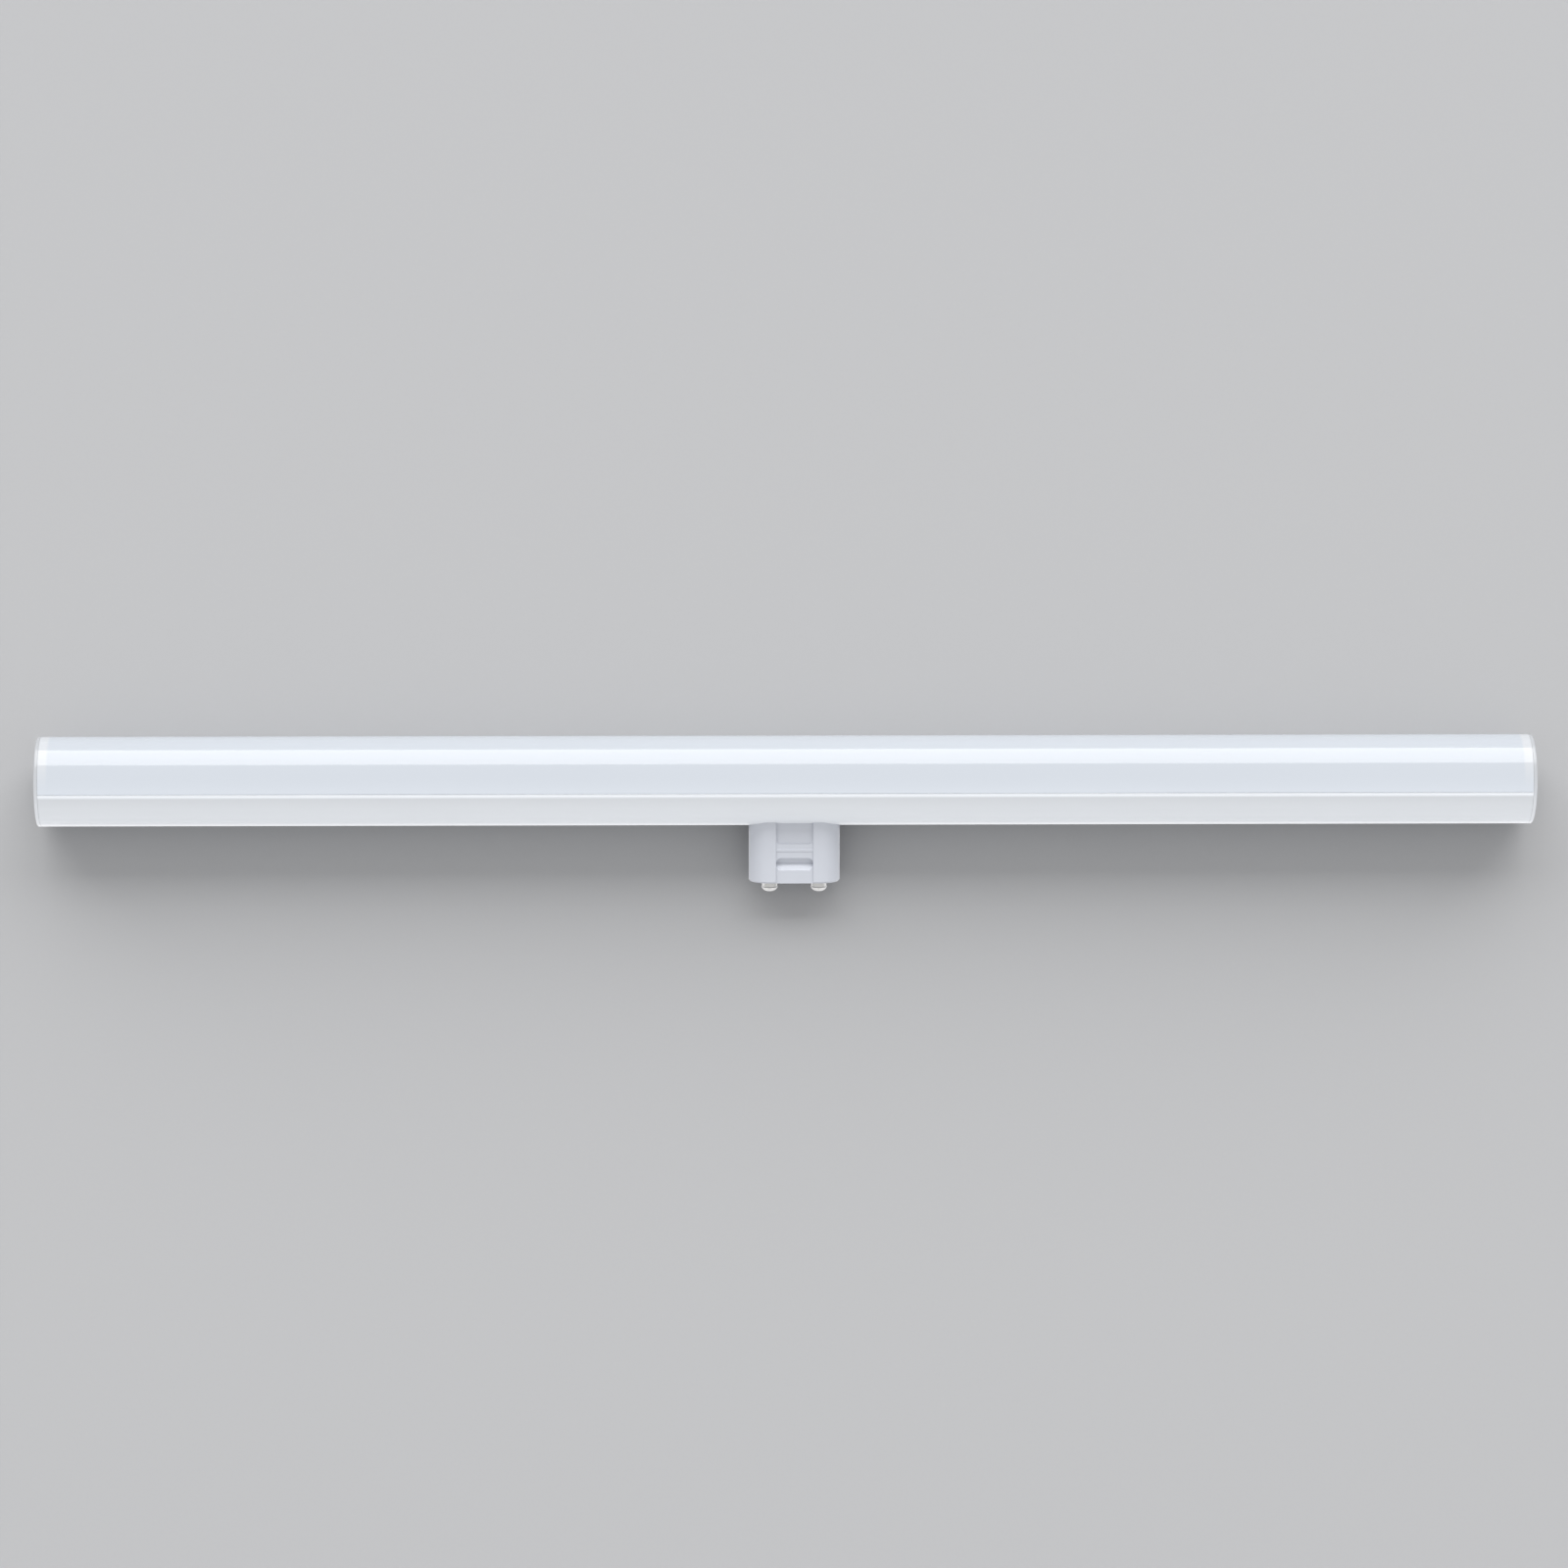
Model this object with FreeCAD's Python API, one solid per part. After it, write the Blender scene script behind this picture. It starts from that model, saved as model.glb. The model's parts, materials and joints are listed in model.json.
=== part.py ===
import FreeCAD, Part
import math
import os

# A straight LED line lamp with one base under its middle, lying on a table.
# Lengths are in millimetres.
# The lamp is drawn with its tube along X, its base pointing down (-Z) and its front towards -Y.
# The base and all that it holds are drawn about the tube's middle and then moved along the tube.
# At the end every piece is laid down together: the lamp rests on the back of its tube and on the
# back edge of its base, with its front up and its base towards -Y.

V = FreeCAD.Vector
ALONG = V(1, 0, 0)
UP = V(0, 0, 1)

# Tube: an opal cover snapped on a white housing, closed by two end caps
lamp_length = 500.0
tube_radius = 15.0
tube_wall = 1.3
seam_drop = 2.4
bead_radius = 0.5
bead_proud = 0.2
cap_flange = 1.4
cap_edge = 0.5
sleeve_depth = 3.0
sleeve_wall = 1.2

# Snap edge between cover and housing, and the slots that carry the LED board
fit_gap = 0.1
tongue_length = 1.9
tongue_thickness = 1.0
foot_height = 1.2
barb = 0.45
lip_reach = 0.75
lip_height = 0.7
rail_wall = 1.0
rail_web = 0.8
ledge_height = 0.9
slot_depth = 1.2

# LED board and its packages
led_board_thickness = 1.0
led_board_corner = 1.0
led_board_end_gap = 1.0
led_pitch = 8.0
led_length = 3.5
led_width = 2.8
led_height = 0.7
led_corner = 0.5

# Base: a hollow stadium with a recessed web on both flat sides, a little right of the tube's middle
base_offset = 2.6
base_thickness = 14.0
base_drop = 34.0
base_wall = 1.6
base_floor = 2.0
base_edge = 0.5
column_land = 2.05
web_depth = 0.55
web_wall = 0.8
web_edge_round = 0.25
panel_depth = 0.95
panel_above_end = 13.3
panel_inset = 0.2
panel_corner = 1.5
ridge_above_end = 11.7
ridge_height = 0.9
ridge_rise = 0.2
notch_above_end = 8.6
notch_height = 4.2
notch_lip = 0.35
notch_lip_depth = 0.6
notch_slope = 1.65
notch_flat = 0.1
notch_depth = 2.3
notch_corner = 1.7
snap_tab_thickness = 1.35
snap_tab_width = 5.2
snap_tab_root = 5.0
snap_hook_reach = 0.65
snap_hook_height = 1.0
guide_rib = 1.0
guide_rib_reach = 1.0
guide_rib_height = 10.0

# Contact pins and what is riveted under them
pin_spacing = 16.5
pin_radius = 2.7
pin_neck_radius = 2.5
pin_neck_length = 1.0
pin_length = 3.9
pin_dome = 1.4
pin_flat_radius = 1.1
pin_bevel_radius = 2.1
pin_bevel = 0.45
pin_shank_radius = 1.5
rivet_radius = 1.9
rivet_height = 0.6
tag_radius = 2.4
tag_thickness = 0.4
lug_width = 1.6
lug_height = 3.0

# Driver board and what is soldered to it
driver_board_thickness = 1.0
driver_board_side_gap = 0.2
driver_board_top_gap = 0.75
solder_gap = 0.1
lead_radius = 0.3
capacitor_radius = 4.0
capacitor_length = 11.5
capacitor_end_gap = 0.35
capacitor_from_centre = 0.9
choke_radius = 3.5
choke_length = 6.5
choke_flange = 1.1
choke_neck_radius = 1.6
choke_winding_step = 0.5
choke_place = 6.5
link_pin_width = 0.8
link_pin_length = 6.0
link_pin_above = 0.8
link_pin_from_capacitor = 0.75
link_pin_from_edge = 1.0
film_width = 7.2
film_height = 5.0
film_thickness = 3.4
film_edge = 0.5
film_above_floor = 8.8
rectifier_size = (4.7, 2.5, 3.9)
rectifier_above_floor = 3.3
rectifier_leg_pitch = 2.54
chip_size = (4.9, 1.5, 3.9)
chip_place = 7.4
chip_above_floor = 9.6
chip_leg_pitch = 1.27
leg_width = 0.45
leg_reach = 1.0
leg_thickness = 0.2
small_chip_size = (1.25, 0.6, 2.0)
small_chip_place = 5.2
small_chip_pitch = 2.9
small_chip_rows = 2
small_chip_above_floor = 2.0

# Leads between the contact pins and the driver board
resistor_radius = 1.3
resistor_length = 5.5
resistor_lead_rise = 1.4
lead_bend = 0.8
sleeve_bore = 1.5
sleeve_thickness = 0.3
sleeve_overhang = 0.6
wire_radius = 0.7
wire_rise = 3.2
wire_strip = 0.8
wire_bend = 1.2

# Sizes that follow from the ones above
inner_radius = tube_radius - tube_wall
body_length = lamp_length - 2 * cap_flange
seam_z = -seam_drop
lip_edge = math.sqrt(inner_radius ** 2 - seam_drop ** 2) - lip_reach
tongue_outer = lip_edge - fit_gap
tongue_inner = tongue_outer - tongue_thickness
tongue_bottom = seam_z - tongue_length
rail_outer = tongue_inner - fit_gap
rail_inner = rail_outer - rail_wall
pocket_floor = tongue_bottom - fit_gap
slot_top = pocket_floor - rail_web
slot_bottom = slot_top - led_board_thickness - fit_gap
ledge_bottom = slot_bottom - ledge_height
led_board_half_width = rail_inner + slot_depth - fit_gap
led_board_low = slot_bottom + fit_gap / 2
led_board_top = led_board_low + led_board_thickness
base_width = pin_spacing + base_thickness
base_half = base_width / 2
base_round = base_thickness / 2
cavity_width = base_width - 2 * base_wall
cavity_thickness = base_thickness - 2 * base_wall
floor_top = -base_drop + base_floor
web_width = pin_spacing - 2 * column_land
web_y = base_round - web_depth
panel_y = base_round - panel_depth
notch_y = base_round - notch_depth
narrow_y = notch_y - web_wall
panel_end = base_drop - panel_above_end
ridge_top = base_drop - ridge_above_end
notch_top = base_drop - notch_above_end
notch_bottom = notch_top + notch_height
pin_x = pin_spacing / 2
tag_top = floor_top + tag_thickness
lug_y = lead_radius - tag_radius + tag_thickness
resistor_low = floor_top + lug_height + 3 * fit_gap
resistor_lead_z = resistor_low + resistor_length + resistor_lead_rise
wire_low = floor_top + lug_height + fit_gap
wire_z = wire_low + wire_rise
driver_board_back = narrow_y - fit_gap
driver_board_front = driver_board_back - driver_board_thickness
driver_board_low = floor_top + fit_gap
driver_board_high = led_board_low - driver_board_top_gap
cavity_arc = cavity_thickness / 2 - driver_board_side_gap
driver_board_half = pin_x + math.sqrt(cavity_arc ** 2 - driver_board_back ** 2)
parts_face = driver_board_front - solder_gap
link_pin_left_x = capacitor_from_centre + link_pin_from_capacitor
link_pin_right_x = driver_board_half - link_pin_from_edge


def bar(radius, length):
    """A round bar along the tube, centred on the lamp's middle."""
    return Part.makeCylinder(radius, length, V(-length / 2, 0, 0), ALONG)


def block(low, high):
    """A box between two opposite corners."""
    size = [b - a for a, b in zip(low, high)]
    return Part.makeBox(*size, V(*low))


def both_sides(shape):
    """A shape and its mirror image across the lamp's front-to-back middle."""
    return shape.fuse(shape.mirror(V(0, 0, 0), V(0, 1, 0)))


def at_base(shape):
    """A shape drawn about the tube's middle, moved along the tube to where the base stands."""
    shape.translate(V(base_offset, 0, 0))
    return shape


def along_tube(points, length):
    """A prism along the tube from an outline in front-to-back and height."""
    outline = [V(-length / 2, y, z) for y, z in points]
    return Part.Face(Part.makePolygon(outline + outline[:1])).extrude(V(length, 0, 0))


def stadium(width, thickness, low, high):
    """An upright prism with two flat sides and two half-round ends."""
    radius = thickness / 2
    half = width / 2 - radius
    arc_right = Part.Arc(V(half, -radius, low), V(half + radius, 0, low), V(half, radius, low))
    arc_left = Part.Arc(V(-half, radius, low), V(-half - radius, 0, low), V(-half, -radius, low))
    back = Part.LineSegment(V(half, radius, low), V(-half, radius, low))
    front = Part.LineSegment(V(-half, -radius, low), V(half, -radius, low))
    edges = [curve.toShape() for curve in (arc_right, back, arc_left, front)]
    return Part.Face(Part.Wire(edges)).extrude(V(0, 0, high - low))


def rounded_panel(width, low, high, corner, depth_from, depth_to):
    """A plate facing the front, with rounded corners, between two depths behind the front."""
    plate = block((-width / 2, depth_from, low), (width / 2, depth_to, high))
    corners = [edge for edge in plate.Edges if abs(edge.tangentAt(edge.FirstParameter).y) > 0.9]
    return plate.makeFillet(corner, corners)


def turned(outline, centre):
    """A solid turned about an upright axis from an outline of radii and heights."""
    points = [V(radius, 0, height) for radius, height in outline]
    solid = Part.Face(Part.makePolygon(points + points[:1])).revolve(V(0, 0, 0), UP, 360)
    solid.translate(centre)
    return solid


def bent_wire(first, corner, last, bend, radius):
    """A round wire along two runs, with the corner between them cut across by one short run."""
    to_first = (first - corner).normalize()
    to_last = (last - corner).normalize()
    path = Part.makePolygon([first, corner + to_first * bend, corner + to_last * bend, last])
    section = Part.Wire(Part.makeCircle(radius, first, corner - first))
    mitred_corners = 1
    return path.makePipeShell([section], True, True, mitred_corners)


def make_cover():
    """Opal upper shell with two barbed tongues that snap under the housing's lips."""
    shell = bar(tube_radius, body_length).cut(bar(inner_radius, body_length + 2))
    above_seam = block((-lamp_length, -lamp_length, seam_z), (lamp_length, lamp_length, lamp_length))
    shell = shell.common(above_seam)
    wall_middle = math.sqrt((tube_radius - tube_wall / 2) ** 2 - seam_drop ** 2)
    barb_top = seam_z - lip_height - fit_gap
    foot = along_tube([
        (tongue_inner, seam_z + foot_height),
        (wall_middle, seam_z + foot_height),
        (wall_middle, seam_z),
        (tongue_outer, seam_z),
        (tongue_outer, barb_top),
        (tongue_outer + barb, barb_top),
        (tongue_outer, tongue_bottom),
        (tongue_inner, tongue_bottom),
    ], body_length)
    return shell.fuse(both_sides(foot)).removeSplitter()


def make_housing():
    """White lower shell with seam beads, snap lips, board slots and the opening for the base."""
    shell = bar(tube_radius, body_length).cut(bar(inner_radius, body_length + 2))
    below_seam = block((-lamp_length, -lamp_length, -lamp_length), (lamp_length, lamp_length, seam_z))
    wall_middle_radius = tube_radius - tube_wall / 2
    bead = Part.makeCylinder(bead_radius, body_length, V(-body_length / 2, *bead_centre()), ALONG)
    half = body_length / 2
    lip = block((-half, lip_edge, seam_z - lip_height), (half, tube_radius, seam_z))
    rail = block((-half, rail_inner, ledge_bottom), (half, tube_radius, seam_z - lip_height + fit_gap))
    pocket = block((-half, rail_outer, pocket_floor), (half, tube_radius, seam_z))
    slot = block((-half, rail_inner, slot_bottom), (half, rail_inner + slot_depth, slot_top))
    inside = lip.fuse(rail.cut(pocket).cut(slot)).common(bar(wall_middle_radius, body_length))
    housing = shell.common(below_seam).fuse(both_sides(inside)).fuse(both_sides(bead))
    opening = stadium(cavity_width, cavity_thickness, -tube_radius - 1, -inner_radius / 2)
    return housing.cut(at_base(opening)).removeSplitter()


def bead_centre():
    """Where the seam bead's middle lies on the back side, as front-to-back and height."""
    drop = seam_drop + bead_radius
    reach = tube_radius + bead_proud - bead_radius
    return math.sqrt(reach ** 2 - drop ** 2), -drop


def make_end_cap(side):
    """Flat cap with a bevelled edge and a sleeve that is open where the rails run."""
    inner_face = side * body_length / 2
    flange = Part.makeCylinder(tube_radius, cap_flange, V(inner_face, 0, 0), ALONG * side)
    outer_face = side * lamp_length / 2
    rim = [edge for edge in flange.Edges if len(edge.Vertexes) == 1 and is_at(edge, outer_face)]
    flange = flange.makeChamfer(cap_edge, rim)
    sleeve_radius = inner_radius - fit_gap
    start = V(inner_face, 0, 0)
    sleeve = Part.makeCylinder(sleeve_radius, sleeve_depth, start, ALONG * -side)
    sleeve = sleeve.cut(Part.makeCylinder(sleeve_radius - sleeve_wall, sleeve_depth, start, ALONG * -side))
    rail_room = 3 * fit_gap
    for y_side in (-1, 1):
        near, far = sorted((y_side * (rail_inner - rail_room), y_side * tube_radius))
        low = (-lamp_length, near, ledge_bottom - rail_room)
        high = (lamp_length, far, seam_z + foot_height + rail_room)
        sleeve = sleeve.cut(block(low, high))
    return flange.fuse(sleeve).removeSplitter()


def is_at(edge, x):
    """Whether an edge lies in the plane across the tube at a place along it."""
    return abs(edge.BoundBox.XMin - x) < 0.001 and abs(edge.BoundBox.XMax - x) < 0.001


def make_base_body():
    """Hollow moulded base: columns, web with panel, ridge and notch, saddle, snap tabs and guides."""
    outside = stadium(base_width, base_thickness, -base_drop, 0)
    bottom_rim = [edge for edge in outside.Edges if edge.BoundBox.ZMax < -base_drop + 0.001]
    outside = outside.makeChamfer(base_edge, bottom_rim)
    front_tool = web_tool()
    back_tool = front_tool.mirror(V(0, 0, 0), V(0, 1, 0))
    outside = soften_web_edges(outside.cut(front_tool).cut(back_tool))
    body = outside.cut(base_cavity()).cut(bar(tube_radius, lamp_length)).removeSplitter()
    for side in (-1, 1):
        body = body.fuse(snap_tab(side)).fuse(guide_rib_bar(side))
        body = body.cut(Part.makeCylinder(pin_shank_radius, base_floor, V(side * pin_x, 0, -base_drop)))
    return body


def web_tool():
    """What is cut from the front: the web's recess, its upper panel and the spring notch."""
    out = base_thickness
    half = web_width / 2
    recess = [
        (-out, 0), (-web_y, 0), (-web_y, -ridge_top), (-web_y - ridge_rise, -ridge_top - ridge_rise),
        (-web_y - ridge_rise, -ridge_top - ridge_height), (-web_y, -ridge_top - ridge_height - ridge_rise),
        (-web_y, -base_drop - 1), (-out, -base_drop - 1),
    ]
    tool = along_tube(recess, web_width)
    panel = rounded_panel(web_width - 2 * panel_inset, -panel_end, 0, panel_corner, -out, -panel_y)
    lip = notch_top + notch_lip
    deepest = lip + notch_slope
    notch_outline = [
        (-out, -notch_top), (-web_y, -notch_top), (-web_y + notch_lip_depth, -lip), (-notch_y, -deepest),
        (-notch_y, -deepest - notch_flat), (-web_y, -notch_bottom), (-out, -notch_bottom),
    ]
    notch = along_tube(notch_outline, web_width)
    window = rounded_panel(2 * half, -notch_bottom, -notch_top, notch_corner, -out, 0)
    return tool.fuse(panel).fuse(notch.common(window))


def soften_web_edges(solid):
    """Round the upright edges where the columns meet the web."""
    edges = []
    for edge in solid.Edges:
        box = edge.BoundBox
        upright = edge.Length > 1 and box.XLength < 0.001 and box.YLength < 0.001
        at_column = abs(abs(box.XMin) - web_width / 2) < 0.001 and abs(abs(box.YMin) - base_round) < 0.001
        if upright and at_column:
            edges.append(edge)
    return solid.makeFillet(web_edge_round, edges)


def base_cavity():
    """The room inside the base, narrower behind the web so that its wall keeps its thickness."""
    cavity = stadium(cavity_width, cavity_thickness, floor_top, 0)
    half = web_width / 2 + web_wall
    panel_back = panel_y - web_wall
    for side in (-1, 1):
        near, far = sorted((side * narrow_y, side * base_thickness))
        cavity = cavity.cut(block((-half, near, -base_drop), (half, far, -panel_end)))
        near, far = sorted((side * panel_back, side * base_thickness))
        cavity = cavity.cut(block((-half, near, -panel_end), (half, far, 0)))
    return cavity


def snap_tab(side):
    """A tab that goes up through the housing's opening and hooks over its inner wall."""
    face = cavity_width / 2 - fit_gap
    root = -tube_radius - snap_tab_root
    hook_low = -inner_radius + fit_gap / 2
    outline = [
        (face - snap_tab_thickness, root), (face + base_wall / 2, root + base_wall),
        (face + base_wall / 2, -tube_radius), (face, -tube_radius), (face, hook_low - tube_wall / 2),
        (face + snap_hook_reach, hook_low - tube_wall / 2), (face + snap_hook_reach, hook_low),
        (face, hook_low + snap_hook_height), (face - snap_tab_thickness, hook_low + snap_hook_height),
    ]
    points = [V(side * x, -snap_tab_width / 2, z) for x, z in outline]
    tab = Part.Face(Part.makePolygon(points + points[:1])).extrude(V(0, snap_tab_width, 0))
    wall_room = bar(tube_radius, lamp_length).cut(bar(inner_radius - fit_gap / 2, lamp_length))
    through = stadium(cavity_width - 2 * fit_gap, cavity_thickness - 2 * fit_gap, -base_drop, 0)
    return tab.cut(wall_room.cut(through))


def guide_rib_bar(side):
    """The rib on one column's inner wall that holds the driver board's edge from the front."""
    inner = driver_board_half - guide_rib_reach
    far = base_half - base_wall / 2
    near, far = sorted((side * inner, side * far))
    rib_back = driver_board_front - fit_gap
    low = (near, rib_back - guide_rib, floor_top - base_floor / 2)
    rib = block(low, (far, rib_back, floor_top + guide_rib_height))
    return rib.common(stadium(base_width - base_wall, base_thickness - base_wall, -base_drop, 0))


def make_contact_pin(side):
    """Turned pin: domed tip in two bevels, neck at the base, shank through the floor, riveted head."""
    tip = -base_drop - pin_length
    dome_top = tip + pin_dome
    neck_low = -base_drop - pin_neck_length
    head_top = tag_top + rivet_height
    profile = [
        (0, tip), (pin_flat_radius, tip), (pin_bevel_radius, tip + pin_bevel), (pin_radius, dome_top),
        (pin_radius, neck_low), (pin_neck_radius, neck_low), (pin_neck_radius, -base_drop),
        (pin_shank_radius, -base_drop), (pin_shank_radius, tag_top), (rivet_radius, tag_top),
        (rivet_radius, head_top), (0, head_top),
    ]
    return turned(profile, V(side * pin_x, 0, 0))


def make_solder_tag(side):
    """A washer under the pin's riveted head, with an upright lug for the lead."""
    centre = V(side * pin_x, 0, floor_top)
    washer = Part.makeCylinder(tag_radius, tag_thickness, centre)
    half = lug_width / 2
    low = (side * pin_x - half, -tag_radius, floor_top)
    lug = block(low, (side * pin_x + half, -tag_radius + tag_thickness, floor_top + lug_height))
    tag = washer.fuse(lug).cut(Part.makeCylinder(pin_shank_radius, tag_thickness, centre))
    return tag.removeSplitter()


def make_led_board():
    """The long board in the housing's slots, with two holes for the link pins."""
    half = body_length / 2 - sleeve_depth - led_board_end_gap
    low = (-half, -led_board_half_width, led_board_low)
    board = block(low, (half, led_board_half_width, led_board_top))
    corners = [edge for edge in board.Edges if edge.BoundBox.ZLength > led_board_thickness / 2]
    board = board.makeFillet(led_board_corner, corners)
    half_hole = link_pin_width / 2 + fit_gap
    for x in (link_pin_left_x, link_pin_right_x):
        low = (x - half_hole, link_pin_y() - half_hole, led_board_low)
        hole = block(low, (x + half_hole, link_pin_y() + half_hole, led_board_top))
        board = board.cut(at_base(hole))
    return board


def make_led_packages():
    """One row of light emitters, each with its marked corner cut off."""
    count = int((body_length - 2 * sleeve_depth - 2 * led_board_end_gap) / led_pitch) // 2 * 2
    packages = []
    for index in range(count):
        x = (index - (count - 1) / 2) * led_pitch
        left, right, near, far = x - led_length / 2, x + led_length / 2, -led_width / 2, led_width / 2
        outline = [(left, near), (right, near), (right, far - led_corner), (right - led_corner, far), (left, far)]
        points = [V(a, b, led_board_top) for a, b in outline]
        packages.append(Part.Face(Part.makePolygon(points + points[:1])).extrude(V(0, 0, led_height)))
    return Part.makeCompound(packages)


def link_pin_y():
    """How far behind the middle the link pins stand: against the driver board's front face."""
    return driver_board_front - link_pin_width / 2


def make_link_pin(x):
    """A stiff square pin soldered to the driver board and passed through the LED board."""
    half = link_pin_width / 2
    top = led_board_top + link_pin_above
    low = (x - half, link_pin_y() - half, top - link_pin_length)
    return block(low, (x + half, link_pin_y() + half, top))


def make_driver_board():
    """The upright board, with holes for the two supply leads."""
    low = (-driver_board_half, driver_board_front, driver_board_low)
    board = block(low, (driver_board_half, driver_board_back, driver_board_high))
    for x, z in ((-pin_x, resistor_lead_z), (pin_x, wire_z)):
        start = V(x, driver_board_front, z)
        board = board.cut(Part.makeCylinder(lead_radius + fit_gap, driver_board_thickness, start, V(0, 1, 0)))
    return board


def chip(size, x, above_floor, legs, pitch):
    """A flat package on the driver board's front, stood upright, with legs to its left and right."""
    width, depth, height = size
    body = block((-width / 2, parts_face - depth, -height / 2), (width / 2, parts_face, height / 2))
    for index in range(legs):
        leg_x = (index - (legs - 1) / 2) * pitch
        low_x, high_x = leg_x - leg_width / 2, leg_x + leg_width / 2
        for side in (-1, 1):
            edge = side * height / 2
            shoulder = edge + side * leg_reach / 2
            foot = edge + side * leg_reach
            middle = parts_face - depth / 2
            down, up = sorted((edge, shoulder + side * leg_thickness))
            body = body.fuse(block((low_x, middle - leg_thickness, down), (high_x, middle, up)))
            down, up = sorted((shoulder, shoulder + side * leg_thickness))
            body = body.fuse(block((low_x, middle - leg_thickness, down), (high_x, driver_board_front, up)))
            down, up = sorted((shoulder, foot))
            low = (low_x, driver_board_front - leg_thickness, down)
            body = body.fuse(block(low, (high_x, driver_board_front, up)))
    body = body.removeSplitter()
    body.rotate(V(0, 0, 0), V(0, 1, 0), 90)
    body.translate(V(x, 0, floor_top + above_floor))
    return body


def make_chip_parts():
    """Small chip resistors and capacitors, in two upright rows beside the rectifier."""
    width, depth, height = small_chip_size
    parts = []
    for side in (-1, 1):
        for row in range(small_chip_rows):
            x = side * small_chip_place
            z = floor_top + small_chip_above_floor + row * small_chip_pitch
            low = (x - width / 2, driver_board_front - depth, z - height / 2)
            parts.append(block(low, (x + width / 2, driver_board_front, z + height / 2)))
    return Part.makeCompound(parts)


def make_film_capacitor():
    """A box-shaped capacitor with bevelled edges, flat on the driver board."""
    centre = floor_top + film_above_floor
    low = (-film_width / 2, parts_face - film_thickness, centre - film_height / 2)
    body = block(low, (film_width / 2, parts_face, centre + film_height / 2))
    rims = [edge for edge in body.Edges if edge.BoundBox.YLength > film_thickness / 2]
    body = body.makeChamfer(film_edge, rims)
    for side in (-1, 1):
        start = V(side * film_width / 4, parts_face, centre)
        lead = Part.makeCylinder(lead_radius, solder_gap, start, V(0, 1, 0))
        body = body.fuse(lead)
    return body


def make_reservoir_capacitor():
    """A can lying along the tube above the base, with a lead."""
    y = driver_board_front - solder_gap - capacitor_radius
    z = led_board_low - capacitor_end_gap - capacitor_radius
    left = capacitor_from_centre - capacitor_length
    can = Part.makeCylinder(capacitor_radius, capacitor_length, V(left, y, z), ALONG)
    lead_start = V(left + capacitor_length / 2, y, z)
    lead = Part.makeCylinder(lead_radius, capacitor_radius + solder_gap, lead_start, V(0, 1, 0))
    return can.fuse(lead)


def make_choke_core():
    """A drum core standing on the driver board, with a flange at each end."""
    y, z = choke_axis()
    half_neck = choke_length - 2 * choke_flange
    core = Part.makeCylinder(choke_radius, choke_flange, V(choke_place, y, z), V(0, -1, 0))
    neck_start = V(choke_place, y - choke_flange, z)
    core = core.fuse(Part.makeCylinder(choke_neck_radius, half_neck, neck_start, V(0, -1, 0)))
    far_start = V(choke_place, y - choke_flange - half_neck, z)
    return core.fuse(Part.makeCylinder(choke_radius, choke_flange, far_start, V(0, -1, 0))).removeSplitter()


def choke_axis():
    """Where the choke's foot stands: on the board's face, under the LED board."""
    return parts_face, led_board_low - driver_board_top_gap - fit_gap - choke_radius


def make_choke_winding():
    """The coil between the core's flanges, its turns pressed together into one smooth sleeve."""
    y, z = choke_axis()
    room = choke_length - 2 * choke_flange - 2 * fit_gap
    start = V(choke_place, y - choke_flange - fit_gap, z)
    coil = Part.makeCylinder(choke_radius - choke_winding_step, room, start, V(0, -1, 0))
    return coil.cut(Part.makeCylinder(choke_neck_radius + fit_gap, room, start, V(0, -1, 0)))


def make_fusible_resistor():
    """An upright resistor on the left solder tag, whose upper lead bends over to the driver board."""
    high = resistor_low + resistor_length
    body = Part.makeCylinder(resistor_radius, resistor_length, V(-pin_x, lug_y, resistor_low))
    foot = V(-pin_x, lug_y, tag_top + rivet_height + fit_gap)
    body = body.fuse(Part.makeCylinder(lead_radius, resistor_low - foot.z, foot))
    corner = V(-pin_x, lug_y, resistor_lead_z)
    in_board = V(-pin_x, driver_board_back, resistor_lead_z)
    return body.fuse(bent_wire(V(-pin_x, lug_y, high), corner, in_board, lead_bend, lead_radius))


def make_resistor_sleeve():
    """The insulating sleeve around the resistor."""
    length = resistor_length + 2 * sleeve_overhang
    start = V(-pin_x, lug_y, resistor_low - sleeve_overhang)
    tube = Part.makeCylinder(sleeve_bore + sleeve_thickness, length, start)
    return tube.cut(Part.makeCylinder(sleeve_bore, length, start))


def make_supply_wire():
    """The insulated lead from the right solder tag up to the driver board."""
    corner = V(pin_x, lug_y, wire_z)
    foot = V(pin_x, lug_y, tag_top + rivet_height + fit_gap)
    cover_start = V(pin_x, lug_y, wire_low)
    cover_end = V(pin_x, driver_board_front - wire_strip, wire_z)
    covered = bent_wire(cover_start, corner, cover_end, wire_bend, wire_radius)
    bare_foot = Part.makeCylinder(lead_radius, cover_start.z - foot.z, foot)
    bare_end = Part.makeCylinder(lead_radius, wire_strip + driver_board_thickness, cover_end, V(0, 1, 0))
    return covered.fuse(bare_foot).fuse(bare_end)


def rest_angle():
    """How far the base dips when the lamp lies on the back of its tube and its base's back edge."""
    edge_y = base_round
    edge_z = -base_drop + base_edge
    angles = []
    for y, z, radius in ((0, 0, tube_radius), (*bead_centre(), bead_radius)):
        across, along = y - edge_y, z - edge_z
        reach = math.hypot(across, along)
        angles.append(math.atan2(across, along) + math.asin(radius / reach))
    return max(angles)


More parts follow.
